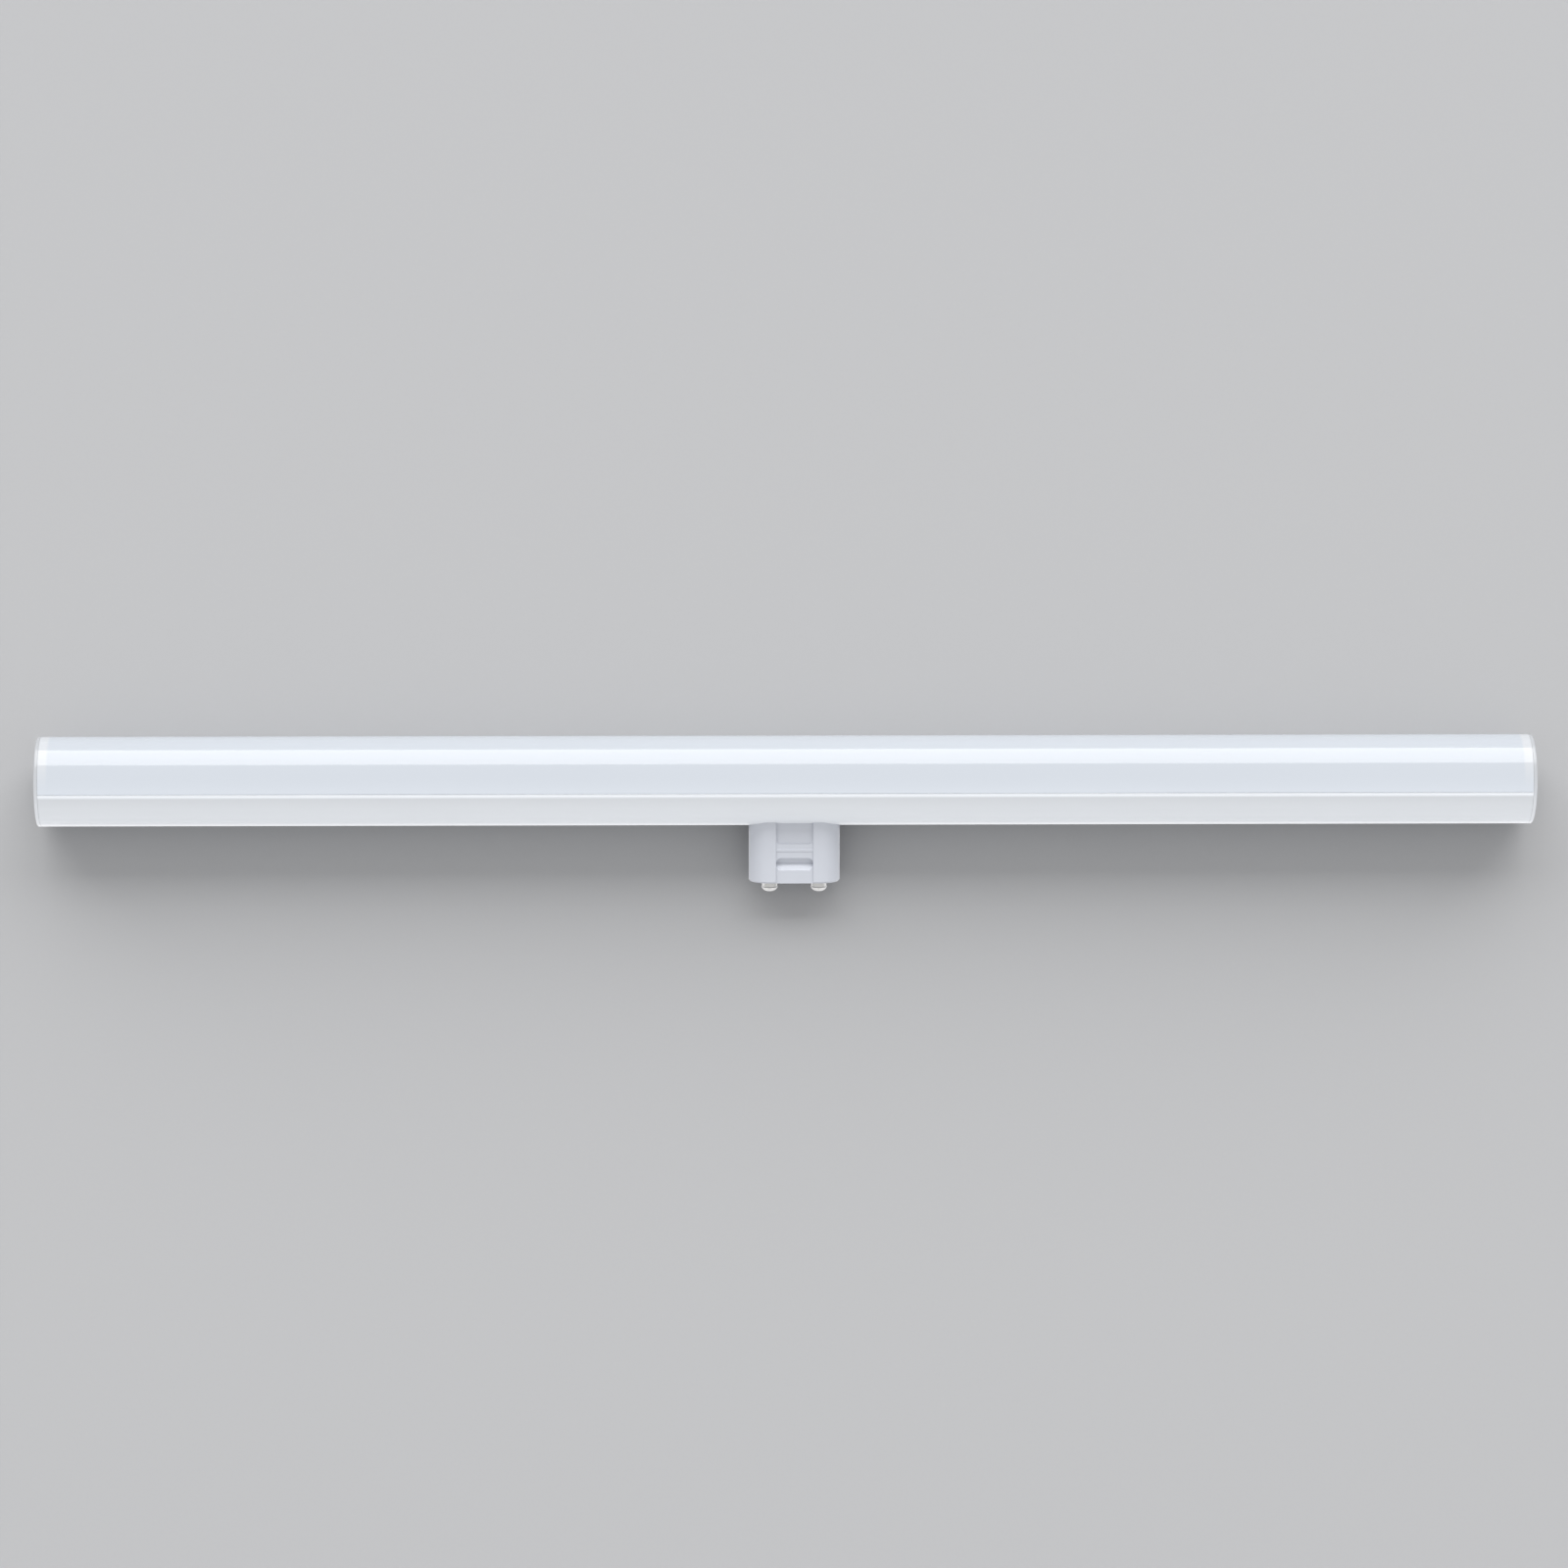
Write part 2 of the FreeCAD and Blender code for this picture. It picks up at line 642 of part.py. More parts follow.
def lay_down(shapes):
    """Turn all pieces to the resting pose, with the origin under the middle of the lamp's box."""
    turn = FreeCAD.Placement(V(0, 0, 0), FreeCAD.Rotation(ALONG, math.degrees(rest_angle()) - 90))
    laid = {name: shape.copy() for name, shape in shapes.items()}
    for shape in laid.values():
        shape.Placement = turn.multiply(shape.Placement)
    box = Part.makeCompound(list(laid.values())).optimalBoundingBox(False, False)
    to_origin = V(-box.Center.x, -box.Center.y, -box.ZMin)
    for shape in laid.values():
        shape.translate(to_origin)
    return laid


tube_pieces = {
    "diffuser_cover": make_cover(),
    "back_housing": make_housing(),
    "end_cap_left": make_end_cap(-1),
    "end_cap_right": make_end_cap(1),
    "led_board": make_led_board(),
    "led_packages": make_led_packages(),
}
base_pieces = {
    "base_body": make_base_body(),
    "contact_pin_left": make_contact_pin(-1),
    "contact_pin_right": make_contact_pin(1),
    "solder_tag_left": make_solder_tag(-1),
    "solder_tag_right": make_solder_tag(1),
    "link_pin_left": make_link_pin(link_pin_left_x),
    "link_pin_right": make_link_pin(link_pin_right_x),
    "driver_board": make_driver_board(),
    "bridge_rectifier": chip(rectifier_size, 0, rectifier_above_floor, 2, rectifier_leg_pitch),
    "control_chip": chip(chip_size, chip_place, chip_above_floor, 4, chip_leg_pitch),
    "chip_parts": make_chip_parts(),
    "film_capacitor": make_film_capacitor(),
    "reservoir_capacitor": make_reservoir_capacitor(),
    "choke_core": make_choke_core(),
    "choke_winding": make_choke_winding(),
    "fusible_resistor": make_fusible_resistor(),
    "resistor_sleeve": make_resistor_sleeve(),
    "supply_wire": make_supply_wire(),
}
shapes = {**tube_pieces, **{name: at_base(shape) for name, shape in base_pieces.items()}}

os.makedirs("parts", exist_ok=True)
for name, shape in lay_down(shapes).items():
    shape.exportStep(os.path.join("parts", name + ".step"))
    print(name, "solids", len(shape.Solids), "valid", shape.isValid(), "volume", round(shape.Volume, 1))
print("rest angle", round(math.degrees(rest_angle()), 3))
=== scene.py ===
import json
import math

import bmesh
import bpy
from bpy.props import FloatProperty, FloatVectorProperty, IntProperty, PointerProperty
from mathutils import Matrix, Vector


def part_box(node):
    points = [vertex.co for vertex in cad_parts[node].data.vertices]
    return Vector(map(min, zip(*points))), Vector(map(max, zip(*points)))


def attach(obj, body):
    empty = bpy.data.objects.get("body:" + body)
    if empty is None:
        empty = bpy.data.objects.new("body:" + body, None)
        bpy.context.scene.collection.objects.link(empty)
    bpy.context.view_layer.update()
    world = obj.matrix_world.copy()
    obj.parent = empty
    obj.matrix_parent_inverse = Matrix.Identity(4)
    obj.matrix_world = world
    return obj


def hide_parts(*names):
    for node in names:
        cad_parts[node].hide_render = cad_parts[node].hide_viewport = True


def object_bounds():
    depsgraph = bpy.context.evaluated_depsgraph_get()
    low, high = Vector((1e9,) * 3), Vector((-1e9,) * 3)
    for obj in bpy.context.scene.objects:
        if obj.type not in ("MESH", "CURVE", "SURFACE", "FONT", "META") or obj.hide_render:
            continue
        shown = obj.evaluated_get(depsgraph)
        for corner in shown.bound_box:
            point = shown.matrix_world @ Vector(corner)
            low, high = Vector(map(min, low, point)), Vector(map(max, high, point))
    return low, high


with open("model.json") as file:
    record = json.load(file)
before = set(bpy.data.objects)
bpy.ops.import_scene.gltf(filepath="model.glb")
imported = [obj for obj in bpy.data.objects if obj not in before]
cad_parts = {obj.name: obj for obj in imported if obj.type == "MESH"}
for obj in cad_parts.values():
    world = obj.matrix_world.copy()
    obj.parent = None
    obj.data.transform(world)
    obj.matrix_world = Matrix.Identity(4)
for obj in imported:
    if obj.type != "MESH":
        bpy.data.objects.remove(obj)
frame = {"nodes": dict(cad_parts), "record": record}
cad_low, cad_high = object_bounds()

bl_info = {
    "name": "Line lamp dresser",
    "version": (1, 0, 0),
    "blender": (4, 5, 0),
    "location": "3D View > Sidebar > Line lamp",
    "description": "Shells, caps, contacts, finishes and studio of a straight line lamp",
    "category": "Object",
}

MM = 0.001
BODY = "root"
X = Vector((1, 0, 0))

# The tube's length, radius and axis, read from the frame
mounts = {mount["name"]: mount for mount in frame["record"]["mounts"]}
cap_low, cap_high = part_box("end_cap_left")
LENGTH = cad_high.x - cad_low.x
RADIUS = (cap_high.z - cap_low.z) / 2
AXIS = Vector((0, (cap_low.y + cap_high.y) / 2, (cap_low.z + cap_high.z) / 2))

# The lamp lies tipped. Its own directions start at the axis, with up away from the contacts
UP = -Vector(mounts["base_seat"]["axis"])
BACK = UP.cross(X)
TO_ROW = Matrix.Translation(AXIS) @ Matrix((X, BACK, UP)).transposed().to_4x4()
LEVEL_TURN = Matrix((X, BACK, UP)).to_euler()
BASE_END = TO_ROW.inverted() @ Vector(mounts["base_seat"]["pos_m"])

# How the meshes are made: merging distance, facets of a rounding and angles that stay smooth
WELD = 0.0005 * MM
ROUND_STEPS = 5
SMOOTH_ANGLE = math.radians(30)
PIN_SMOOTH_ANGLE = math.radians(35)

# The sleeves' lighter band: half its fade along the tube, and the heights between which painted
# light makes it grow towards the top of the tube
SLEEVE_FADE = 0.6 * MM
SLEEVE_LIGHT_HEIGHTS = (-2.5 * MM, 10.0 * MM)

# Painted highlight on the bead: how much lighter the housing's colour is made there, and the
# depths between which it grows, in bead radii below the seam
BEAD_PAINTED_HIGHLIGHT = 1.34
BEAD_HIGHLIGHT_DEPTHS = (3.6, 1.6)

# Pieces that the low lights fall on, the tilts of light panels that face along the floor or up,
# and the height of the sheets on the floor
TUBE_PIECES = ("cover_shell", "housing_shell", "cap_disc_left", "cap_disc_right")
FORWARDS = math.radians(-90)
UPWARDS = math.radians(180)
SHEET_HEIGHT = 0.5 * MM
SENSOR_WIDTH = 36


def size(name, default_mm, description):
    """A length property, given in millimetres and kept in metres."""
    return FloatProperty(name=name, description=description, default=default_mm * MM, min=0,
                         unit="LENGTH")


def shift(name, default_mm, description):
    """A length that may be negative, given in millimetres and kept in metres."""
    return FloatProperty(name=name, description=description, default=default_mm * MM, unit="LENGTH")


def lean(name, default_degrees, description):
    """An angle property, given in degrees and kept in radians."""
    return FloatProperty(name=name, description=description,
                         default=math.radians(default_degrees), subtype="ANGLE")


def strength(name, default, description):
    """The radiance of a light."""
    return FloatProperty(name=name, description=description, default=default, min=0)


def colour(name, default, description):
    """A colour property in linear light."""
    return FloatVectorProperty(name=name, description=description, default=default, size=3,
                               min=0, max=1, subtype="COLOR")


def facets(default, description):
    """The number of facets around a round piece."""
    return IntProperty(name="Facets", description=description, default=default, min=3)


class TubeSizes(bpy.types.PropertyGroup):
    """The tube's two shells and its end caps."""

    wall: size("Wall", 1.3, "Thickness of both shells")
    seam_drop: size("Seam drop", 2.33, "How far the seam lies below the tube's axis")
    seam_gap: size("Seam gap", 0.01, "Open line between the two shells")
    bead_radius: size("Bead radius", 0.5, "Radius of the housing's bead along the seam")
    bead_proud: size("Bead proud", 0.2, "How far the bead stands out of the tube")
    cap_flange: size("Cap flange", 1.2, "Thickness of the end caps that shows")
    cap_round: size("Cap rounding", 0.45, "Rounding of the end caps' outer edge")
    cap_line: size("Cap line", 0.06, "Open line between the end caps and both shells")
    sleeve_depth: size("Sleeve depth", 3.0, "How far the end caps' sleeves reach into the tube")
    steps: facets(180, "Facets around the whole tube")
    bead_steps: facets(10, "Facets around a bead")


class PinSizes(bpy.types.PropertyGroup):
    """The two contact pins."""

    radius: size("Radius", 2.7, "Widest radius")
    neck_radius: size("Neck radius", 2.55, "Radius of the neck at the base")
    neck_length: size("Neck length", 1.9, "Length of the neck that stands out of the base")
    sunk: size("Sunk length", 1.0, "How far the neck reaches into the base")
    length: size("Length", 3.45, "How far the pin stands out of the base")
    flat_radius: size("Flat radius", 1.1, "Radius of the flat in the middle of the tip")
    bevel_radius: size("Bevel radius", 2.1, "Radius where the dome's two slopes meet")
    bevel: size("Bevel height", 0.45, "Height of the dome's flatter slope")
    dome: size("Dome height", 1.4, "Height of the whole domed tip")
    dome_round: size("Dome rounding", 0.42, "Rounding between the dome's slopes")
    edge: size("Edge rounding", 0.12, "Rounding of the pin's back edge")
    steps: facets(96, "Facets around a pin")


class PanelShadeSizes(bpy.types.PropertyGroup):
    """The sunk panels in the base's flat sides, where the base's colour is darkened as painted
    shade.
    """

    # The panels' darker tone, which fades in over the softness, is painted shade, not a different
    # grain
    above_end: size("Above end", 13.3, "Height of the panels' lower edge above the base's end")
    width: size("Width", 12.0, "Width of the panels along the tube")
    corner: size("Corner", 1.5, "Radius of the panels' lower corners")
    soft: size("Softness", 0.06, "Half the width over which the darker grain fades in")


class Finishes(bpy.types.PropertyGroup):
    """Colours of the lamp's visible finishes."""

    opal: colour("Opal cover", (0.70, 0.745, 0.81), "Opal cover of the tube")
    # The sleeve band's colour: the sleeve showing through, with painted light towards the tube's
    # top
    sleeve: colour("Sleeve", (0.78, 0.805, 0.845), "Opal cover where a cap's sleeve lies behind it")
    housing: colour("Housing", (0.612, 0.634, 0.665), "White housing of the tube")
    cap: colour("End caps", (0.62, 0.64, 0.67), "White end caps")
    base: colour("Base", (0.535, 0.556, 0.608), "Moulded base")
    # Painted shade: the base's tone darkened for the sunk panels, which lie in shade
    panel: colour("Panels", (0.517, 0.537, 0.588), "Sunk panels of the base")
    metal: colour("Contacts", (0.60, 0.595, 0.585), "Nickel of the contact pins")


class StageSettings(bpy.types.PropertyGroup):
    """Floor, light and camera."""

    floor: colour("Floor", (0.35, 0.352, 0.36), "Plain pale floor")
    floor_reach: size("Floor reach", 60000, "How far the floor spreads from the lamp to each side")
    ambient: strength("Ambient", 0.88, "Strength of the even light all round")
    softbox: strength("Softbox", 3.75, "Radiance of the softbox, which is seen in reflections only")
    softbox_low: size("Softbox low edge", 225, "Height of the softbox's lower edge")
    softbox_high: size("Softbox high edge", 1810, "Height of the softbox's upper edge")
    softbox_away: size("Softbox distance", 1300, "How far behind the lamp the softbox stands")
    softbox_width: size("Softbox width", 3200, "Length of the softbox along the lamp")
    key: strength("Key", 4.2, "Radiance of the key light, which fills the softbox's angle")
    key_away: size("Key distance", 9000, "How far behind the lamp the key light stands")
    fill: strength("Fill", 1.5, "Radiance of the two low lights, one on each side of the lamp")
    fill_height: size("Fill height", 700, "Height of the low lights")
    fill_away: size("Fill distance", 1500, "How far from the lamp the low lights stand")
    bounce: strength("Bounce", 0.55, "Radiance of the sheet on the floor on the base's side")
    bounce_depth: size("Bounce depth", 700, "How far the sheets on the floor reach")
    sheen: strength("Sheen", 0.85, "Radiance of the sheet that is seen in reflections only")
    pitch: lean("Pitch", 6.275, "Lean of the camera towards the base's side")
    yaw: lean("Yaw", -1.2, "Lean of the camera towards the left end")
    roll: lean("Roll", -0.119, "Turn of the camera about its own axis")
    distance: size("Distance", 1929.7, "Distance from the camera to the middle of the picture")
    target_x: shift("Target X", -0.85, "Middle of the picture along the lamp")
    target_y: shift("Target Y", 9.683, "Middle of the picture across the lamp")
    lens: FloatProperty(name="Lens", default=132.33, min=1,
                        description="Focal length in millimetres on a 36 mm sensor")


class LampSettings(bpy.types.PropertyGroup):
    """All settings of the lamp."""

    tube: PointerProperty(type=TubeSizes)
    pins: PointerProperty(type=PinSizes)
    panel: PointerProperty(type=PanelShadeSizes)
    finishes: PointerProperty(type=Finishes)
    stage: PointerProperty(type=StageSettings)


def settings():
    """The lamp's settings, kept on the scene."""
    return bpy.context.scene.line_lamp


# Shader nodes in plain arithmetic

class Socket:
    """A shader socket that takes part in plain arithmetic."""

    def __init__(self, shader, output):
        self.shader = shader
        self.output = output

    def maths(self, operation, first, second):
        """One Math node on two values."""
        return self.shader.node("ShaderNodeMath", {"operation": operation}, {0: first, 1: second})

    def __add__(self, other):
        return self.maths("ADD", self, other)

    def __radd__(self, other):
        return self.maths("ADD", other, self)

    def __sub__(self, other):
        return self.maths("SUBTRACT", self, other)

    def __rsub__(self, other):
        return self.maths("SUBTRACT", other, self)

    def __mul__(self, other):
        return self.maths("MULTIPLY", self, other)

    def __rmul__(self, other):
        return self.maths("MULTIPLY", other, self)

    def __abs__(self):
        return self.shader.node("ShaderNodeMath", {"operation": "ABSOLUTE"}, {0: self})

    def at_least(self, least):
        """The value, or the least value where that is higher."""
        return self.maths("MAXIMUM", self, least)


class Shader:
    """A material's nodes."""

    def __init__(self, name):
        self.material = bpy.data.materials.new(name)
        self.material.use_nodes = True
        self.tree = self.material.node_tree
        self.surface = self.tree.nodes["Principled BSDF"]

    def feed(self, entry, value):
        """Links a socket to another one or sets its value; a colour is given without its alpha."""
        if isinstance(value, Socket):
            self.tree.links.new(value.output, entry)
        elif entry.type == "RGBA":
            entry.default_value = (*value, 1)
        else:
            entry.default_value = value

    def node(self, kind, choices, values, output=0):
        """A node of any kind: its settings first, then its sockets' values or links."""
        made = self.tree.nodes.new(kind)
        for name, value in choices.items():
            setattr(made, name, value)
        for key, value in values.items():
            self.feed(made.inputs[key], value)
        return Socket(self, made.outputs[output])

    def place(self, scale=(1, 1, 1), centre=(0, 0, 0), turn=(0, 0, 0)):
        """The place on the piece, in metres from a centre, turned and scaled."""
        here = self.node("ShaderNodeTexCoord", {}, {}, output=3)
        moved = self.node("ShaderNodeVectorMath", {"operation": "SUBTRACT"}, {0: here, 1: centre})
        return self.node("ShaderNodeMapping", {},
                         {"Vector": moved, "Rotation": turn, "Scale": scale})

    def level_place(self):
        """The place in the lamp's own directions, from the tube's axis."""
        return self.place(centre=AXIS, turn=LEVEL_TURN)

    def part(self, vector, index):
        """One coordinate of a place."""
        return self.node("ShaderNodeSeparateXYZ", {}, {0: vector}, output=index)

    def noise(self, vector, scale, detail=2.0):
        """A soft random value between 0 and 1, with a number of waves for each metre."""
        return self.node("ShaderNodeTexNoise", {},
                         {"Vector": vector, "Scale": scale, "Detail": detail, "Roughness": 0.5})

    def step(self, value, low, high):
        """A value that rises smoothly from 0 at low to 1 at high."""
        return self.node("ShaderNodeMapRange", {"interpolation_type": "SMOOTHSTEP"},
                         {"Value": value, "From Min": low, "From Max": high})

    def mix(self, amount, first, second):
        """A colour between two colours."""
        return self.node("ShaderNodeMix", {"data_type": "RGBA"}, {0: amount, 6: first, 7: second},
                         output=2)

    def mottle(self, cloud, tone, dark, light):
        """A tone that a cloud makes a little darker and lighter, by two factors."""
        return self.mix(cloud, shade(tone, dark), shade(tone, light))

    def bump(self, height, distance):
        """A bent normal from a height between 0 and 1."""
        return self.node("ShaderNodeBump", {}, {"Strength": 1.0, "Distance": distance,
                                                "Height": height})

    def finish(self, **values):
        """Feeds the surface's sockets by their names, with underscores for spaces."""
        for name, value in values.items():
            self.feed(self.surface.inputs[name.replace("_", " ")], value)
        return self.material


def shade(tone, factor):
    """A colour made lighter or darker by a factor."""
    return tuple(min(1.0, channel * factor) for channel in tone)


def opal_finish():
    """Opal cover: glossy and milky, lighter where a cap's sleeve lies close behind it; painted
    light makes that band grow towards the top of the tube.
    """
    tube = settings().tube
    finishes = settings().finishes
    shader = Shader("opal_plastic")
    sleeve_edge = LENGTH / 2 - tube.cap_flange - tube.sleeve_depth
    from_middle = abs(shader.part(shader.place(), 0))
    band = shader.step(from_middle, sleeve_edge - SLEEVE_FADE, sleeve_edge + SLEEVE_FADE)
    # Painted light: the sleeve band shows only towards the top of the tube and fades out near the
    # seam
    high = shader.step(shader.part(shader.level_place(), 2), *SLEEVE_LIGHT_HEIGHTS)
    cloud = shader.noise(shader.place(scale=(0.25, 1, 1)), 38.0, detail=3.0)
    mottled = shader.mottle(cloud, finishes.opal, 0.985, 1.015)
    draw_lines = shader.noise(shader.place(scale=(0.02, 1, 1)), 900.0, detail=1.0)
    return shader.finish(
        Base_Color=shader.mix(band * high, mottled, tuple(finishes.sleeve)),
        Roughness=0.02 + 0.02 * cloud, IOR=1.5, Normal=shader.bump(draw_lines, 0.0006 * MM),
    )


def white_finish(name, tone, with_bead_highlight=False):
    """White extruded or moulded plastic with faint drawing lines along the tube, and if asked a
    painted highlight along the bead.
    """
    tube = settings().tube
    shader = Shader(name)
    cloud = shader.noise(shader.place(scale=(0.3, 1, 1)), 60.0, detail=3.0)
    skin = shader.mottle(cloud, tone, 0.985, 1.015)
    if with_bead_highlight:
        # Painted highlight: the colour is made lighter over the bead, where its rounded edge would
        # catch the light
        start, full = (-tube.seam_drop - depth * tube.bead_radius for depth in BEAD_HIGHLIGHT_DEPTHS)
        bead_highlight = shader.step(shader.part(shader.level_place(), 2), start, full)
        skin = shader.mix(bead_highlight, skin, shade(tone, BEAD_PAINTED_HIGHLIGHT))
    draw_lines = shader.noise(shader.place(scale=(0.02, 1, 1)), 1400.0)
    return shader.finish(
        Base_Color=skin, Roughness=0.16 + 0.05 * cloud, IOR=1.48,
        Normal=shader.bump(draw_lines, 0.003 * MM),
    )


def painted_panel_shade(shader):
    """Painted shade mask: 1 in the base's sunk panels, with their rounded lower corners, 0 around
    them.
    """
    panel = settings().panel
    here = shader.level_place()
    from_middle = abs(shader.part(here, 0) - BASE_END.x)
    across = (from_middle - (panel.width / 2 - panel.corner)).at_least(0)
    corner_height = BASE_END.z + panel.above_end + panel.corner
    below = (corner_height - shader.part(here, 2)).at_least(0)
    reach = across * across + below * below
    outside = shader.step(reach, (panel.corner - panel.soft) ** 2, (panel.corner + panel.soft) ** 2)
    return 1 - outside


def base_finish():
    """Moulded plastic with a fine spark-eroded grain, and painted shade that darkens the sunk
    panels.
    """
    finishes = settings().finishes
    shader = Shader("base_plastic")
    here = shader.place()
    cloud = shader.noise(here, 240.0, detail=3.0)
    grain = shader.noise(here, 5200.0)
    outer = shader.mottle(cloud, finishes.base, 0.975, 1.02)
    # Painted shade: the sunk panels take a darker copy of the base's tone, with the same grain
    sunk = shader.mottle(cloud, finishes.panel, 0.975, 1.02)
    return shader.finish(
        Base_Color=shader.mix(painted_panel_shade(shader), outer, sunk), Roughness=0.30 + 0.08 * grain,
        IOR=1.48, Normal=shader.bump(grain, 0.01 * MM),
    )


def contact_finish():
    """Nickel with turning rings and a little tarnish."""
    shader = Shader("contact_metal")
    tarnish = shader.noise(shader.place(), 700.0, detail=4.0)
    rings = shader.noise(shader.place(scale=(1, 1, 6)), 3000.0)
    return shader.finish(
        Base_Color=shader.mottle(tarnish, settings().finishes.metal, 0.86, 1.05), Metallic=1.0,
        Roughness=0.16 + 0.14 * tarnish, Normal=shader.bump(rings, 0.006 * MM),
    )


def inner_finish(name, tone, roughness, metallic, scale, contrast):
    """A finish for a piece inside the lamp: its colour with grain at the right scale."""
    shader = Shader(name)
    grain = shader.noise(shader.place(), scale, detail=3.0)
    return shader.finish(
        Base_Color=shader.mottle(grain, tone, 1 - contrast, 1 + contrast), Metallic=metallic,
        Roughness=(roughness - 0.05) + 0.1 * grain, Normal=shader.bump(grain, 0.01 * MM),
    )


# Colour, roughness, metallic, waves a metre and contrast of the finishes inside the lamp
INNER_FINISHES = {
    "tinned_metal": ((0.62, 0.62, 0.60), 0.30, 1.0, 1500, 0.10),
    "board_white": ((0.82, 0.82, 0.80), 0.35, 0.0, 500, 0.03),
    "board_green": ((0.02, 0.12, 0.04), 0.30, 0.0, 400, 0.12),
    "emitter": ((0.85, 0.62, 0.10), 0.40, 0.0, 2500, 0.08),
    "chip_black": ((0.015, 0.015, 0.016), 0.45, 0.0, 3000, 0.20),
    "chip_brown": ((0.16, 0.09, 0.05), 0.50, 0.0, 3000, 0.15),
    "film_yellow": ((0.75, 0.42, 0.03), 0.30, 0.0, 900, 0.06),
    "can_sleeve": ((0.02, 0.025, 0.035), 0.25, 0.0, 700, 0.15),
    "ferrite": ((0.03, 0.028, 0.027), 0.70, 0.0, 2500, 0.25),
    "copper": ((0.55, 0.17, 0.06), 0.25, 1.0, 1800, 0.12),
    "resistor_body": ((0.18, 0.34, 0.22), 0.40, 0.0, 1200, 0.10),
    "sleeve_film": ((0.75, 0.75, 0.72), 0.50, 0.0, 900, 0.04),
    "wire_insulation": ((0.60, 0.60, 0.57), 0.55, 0.0, 900, 0.05),
}


# Modelling helpers

def finished_piece(bm, name, material, node, smooth_angle=SMOOTH_ANGLE):
    """Turns a bmesh in the lamp's own directions into a piece that rides on the lamp."""
    bmesh.ops.recalc_face_normals(bm, faces=bm.faces)
    bmesh.ops.transform(bm, matrix=TO_ROW, verts=bm.verts)
    for face in bm.faces:
        face.smooth = True
    for edge in bm.edges:
        edge.smooth = len(edge.link_faces) == 2 and edge.calc_face_angle() < smooth_angle
    piece = add_mesh(bm, name, material)
    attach(piece, BODY)
    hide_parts(node)


def add_mesh(bm, name, material):
    """Puts a bmesh in the scene as an object at the origin."""
    mesh = bpy.data.meshes.new(name)
    bm.to_mesh(mesh)
    bm.free()
    mesh.materials.append(material)
    made = bpy.data.objects.new(name, mesh)
    bpy.context.scene.collection.objects.link(made)
    return made


def turn_point(bm, point, centre, angle):
    """Draws one side of an outline across the tube by turning its last point; gives the new one."""
    spun = bmesh.ops.spin(bm, geom=[point], cent=centre, axis=X, angle=angle, steps=1)
    return next(item for item in spun["geom_last"] if isinstance(item, bmesh.types.BMVert))


def ring_section(bm, start, angle, inner, left):
    """A flat part of a ring across the tube: its first radius turned about the axis."""
    spoke = Vector((0, math.cos(start), math.sin(start)))
    first = [bm.verts.new(X * left + spoke * reach) for reach in (RADIUS, inner)]
    edge = bm.edges.new(first)
    bmesh.ops.spin(bm, geom=first + [edge], cent=(0, 0, 0), axis=X, angle=angle,
                   steps=int(settings().tube.steps * angle / math.tau))


def lengthen(bm, length):
    """Extrudes the whole flat section along the tube into a solid bar."""
    grown = bmesh.ops.extrude_face_region(bm, geom=bm.faces[:])
    moved = [item for item in grown["geom"] if isinstance(item, bmesh.types.BMVert)]
    bmesh.ops.translate(bm, verts=moved, vec=X * length)


def round_off(bm, geom, offset, affect):
    """Rounds edges or the corners of an outline."""
    bmesh.ops.bevel(bm, geom=geom, offset=offset, segments=ROUND_STEPS, profile=0.5, affect=affect,
                    material=-1)


def shell_length(tube):
    """Length of both shells, which end just short of the caps."""
    return LENGTH - 2 * tube.cap_flange - 2 * tube.cap_line


class LAMP_OT_cover(bpy.types.Operator):
    """Opal upper shell of the tube"""

    bl_idname = "lamp.cover"
    bl_label = "Opal cover"

    def execute(self, context):
        tube = settings().tube
        seam = math.asin((tube.seam_drop - tube.seam_gap / 2) / RADIUS)
        length = shell_length(tube)
        bm = bmesh.new()
        ring_section(bm, -seam, math.pi + 2 * seam, RADIUS - tube.wall, -length / 2)
        lengthen(bm, length)
        finished_piece(bm, "cover_shell", opal_finish(), "diffuser_cover")
        return {"FINISHED"}


